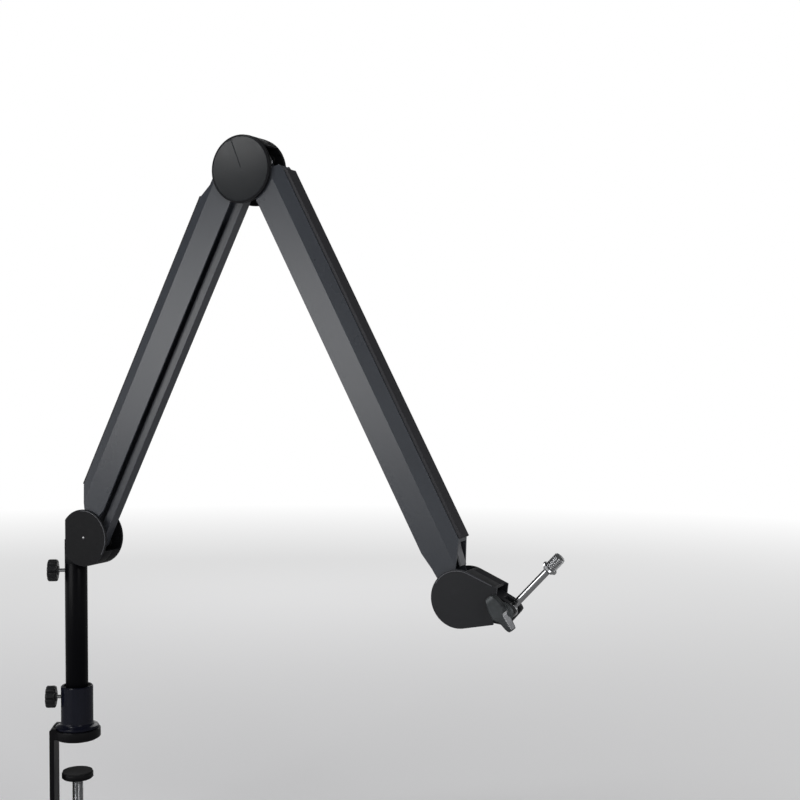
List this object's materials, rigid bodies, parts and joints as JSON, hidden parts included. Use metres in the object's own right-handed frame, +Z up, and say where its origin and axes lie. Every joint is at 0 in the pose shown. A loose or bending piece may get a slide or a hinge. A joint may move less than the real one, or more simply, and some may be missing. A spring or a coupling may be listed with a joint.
{
  "type": "microphone boom arm",
  "caption": "Desk-clamped microphone boom arm: a short post, two covered parallelogram arms that keep a tilting threaded rod level, and thumbscrews that lock the swivels.",
  "frame": {"origin": "centre of the upper jaw pad's underside, on the post's axis, where the desk's top meets it", "axes": "+Z up along the post; the arms lie in the XZ plane and reach towards +X; every arm hinge is along Y"},
  "size_m": [0.4913, 0.0602, 0.6477],
  "materials": {
    "cover_paint": "satin black powder coat with a cool sheen",
    "link_paint": "satin black powder coat",
    "black_shell": "fine-grained moulded black",
    "black_strip": "soft black extrusion",
    "post_paint": "black powder coat",
    "socket_paint": "blue-black satin enamel",
    "clamp_paint": "black powder coat",
    "knob_plastic": "moulded dark grey",
    "wing_metal": "grey zinc casting",
    "pad_rubber": "black rubber",
    "bracket_steel": "black-oxide steel sheet",
    "spring_steel": "drawn spring wire",
    "spacer_nylon": "white nylon",
    "bright_steel": "bright nickel plate"
  },
  "bodies": {
    "clamp": {"clamp_frame": "clamp_paint", "jaw_pad": "pad_rubber", "mast_socket": "socket_paint", "socket_screws": "bright_steel", "collar_liner": "black_strip"},
    "lower_thumbscrew": {"lower_knob": "knob_plastic", "lower_stud": "bright_steel"},
    "clamp_foot": {"foot_plate": "clamp_paint", "foot_pad": "pad_rubber"},
    "clamp_screw": {"clamp_screw": "bright_steel", "turning_bar": "bright_steel", "bar_caps": "black_strip"},
    "mast": {"mast_tube": "post_paint", "mast_plug": "black_strip"},
    "upper_thumbscrew": {"upper_knob": "knob_plastic", "upper_stud": "bright_steel"},
    "base_yoke": {"yoke_spigot": "black_shell", "spigot_pin": "bright_steel", "yoke_bracket": "bracket_steel", "yoke_near_shell": "black_shell", "yoke_far_shell": "black_shell", "yoke_pivot": "bright_steel", "yoke_link_pin": "bright_steel", "yoke_spacers": "spacer_nylon", "yoke_spring_pin": "bright_steel"},
    "lower_arm": {"lower_cover": "cover_paint", "lower_cable_strip": "black_strip", "lower_spring_post": "bright_steel", "lower_springs": "spring_steel"},
    "lower_link": {"lower_link": "link_paint"},
    "elbow": {"elbow_near_cover": "black_shell", "elbow_far_cover": "black_shell", "elbow_plates": "bracket_steel", "elbow_studs": "bright_steel", "elbow_link_pins": "bright_steel", "elbow_spacers": "spacer_nylon", "elbow_spring_pin": "bright_steel", "elbow_screws": "bright_steel"},
    "upper_arm": {"upper_cover": "cover_paint", "upper_cable_strip": "black_strip", "upper_spring_post": "bright_steel", "upper_springs": "spring_steel", "cable_guide": "bright_steel"},
    "upper_link": {"upper_link": "link_paint"},
    "head": {"head_near_shell": "black_shell", "head_far_shell": "black_shell", "head_plates": "bracket_steel", "head_studs": "bright_steel", "head_link_pin": "bright_steel", "head_spacers": "spacer_nylon", "head_screws": "bright_steel", "swivel_fork": "black_shell", "fork_screws": "bright_steel", "clamp_bolt": "bright_steel", "swivel_washers": "bright_steel"},
    "mic_swivel": {"swivel_rod": "bright_steel", "thread_fitting": "bright_steel"},
    "lock_ring": {"lock_ring": "bright_steel"},
    "wing_knob": {"wing_knob": "wing_metal"}
  },
  "joints": [
    {"name": "clamp_travel", "type": "slide", "parent": "clamp", "child": "clamp_foot", "axis": [0, 0, 1], "range_m": [-0.028, 0.024]},
    {"name": "clamp_turn", "type": "hinge", "parent": "clamp_foot", "child": "clamp_screw", "pos_m": [0, 0, -0.06], "axis": [0, 0, 1], "range_deg": [-6725, 5765]},
    {"name": "lower_thumb_turn", "type": "hinge", "parent": "clamp", "child": "lower_thumbscrew", "pos_m": [0, 0, 0.038], "axis": [-0.848, -0.5299, 0], "range_deg": [-20, 720]},
    {"name": "mast_turn", "type": "hinge", "parent": "clamp", "child": "mast", "pos_m": [0, 0, 0.03], "axis": [0, 0, 1], "continuous": true},
    {"name": "upper_thumb_turn", "type": "hinge", "parent": "mast", "child": "upper_thumbscrew", "pos_m": [0, 0, 0.153], "axis": [-0.848, -0.5299, 0], "range_deg": [-20, 720]},
    {"name": "arm_swivel", "type": "hinge", "parent": "mast", "child": "base_yoke", "pos_m": [0, 0, 0.14], "axis": [0, 0, 1], "range_deg": [-60, 125]},
    {"name": "lower_arm_pitch", "type": "hinge", "parent": "base_yoke", "child": "lower_arm", "pos_m": [0.0183, 0, 0.1846], "axis": [0, -1, 0], "range_deg": [-60, 20], "deforming": ["lower_springs"]},
    {"name": "lower_link_turn", "type": "hinge", "parent": "base_yoke", "child": "lower_link", "pos_m": [0.02944, 0, 0.17893], "axis": [0, -1, 0], "range_deg": [-60.5, 20.5]},
    {"name": "elbow_turn", "type": "hinge", "parent": "lower_arm", "child": "elbow", "pos_m": [0.18083, 0, 0.50358], "axis": [0, -1, 0], "range_deg": [-20.5, 60.5]},
    {"name": "upper_arm_pitch", "type": "hinge", "parent": "elbow", "child": "upper_arm", "pos_m": [0.1951, 0, 0.50602], "axis": [0, -1, 0], "range_deg": [-8, 62], "deforming": ["upper_springs"]},
    {"name": "upper_link_turn", "type": "hinge", "parent": "elbow", "child": "upper_link", "pos_m": [0.19815, 0, 0.49031], "axis": [0, -1, 0], "range_deg": [-8.5, 62.5]},
    {"name": "head_turn", "type": "hinge", "parent": "upper_arm", "child": "head", "pos_m": [0.38007, 0, 0.15814], "axis": [0, -1, 0], "range_deg": [-62.5, 8.5]},
    {"name": "mic_tilt", "type": "hinge", "parent": "head", "child": "mic_swivel", "pos_m": [0.41969, 0, 0.15207], "axis": [0, -1, 0], "range_deg": [-115, 45]},
    {"name": "wing_turn", "type": "hinge", "parent": "head", "child": "wing_knob", "pos_m": [0.41969, 0, 0.15207], "axis": [0, -1, 0], "range_deg": [-20, 720]},
    {"name": "lock_ring_turn", "type": "hinge", "parent": "mic_swivel", "child": "lock_ring", "pos_m": [0.45173, 0, 0.18618], "axis": [0.6845, 0, 0.729], "range_deg": [-360, 360]}
  ],
  "couplings": [
    {"joint": "clamp_turn", "follows": "clamp_travel", "rad_per_m": 4188.8},
    {"joint": "lower_link_turn", "follows": "lower_arm_pitch", "ratio": 1},
    {"joint": "elbow_turn", "follows": "lower_arm_pitch", "ratio": -1},
    {"joint": "upper_link_turn", "follows": "upper_arm_pitch", "ratio": 1},
    {"joint": "head_turn", "follows": "upper_arm_pitch", "ratio": -1}
  ]
}
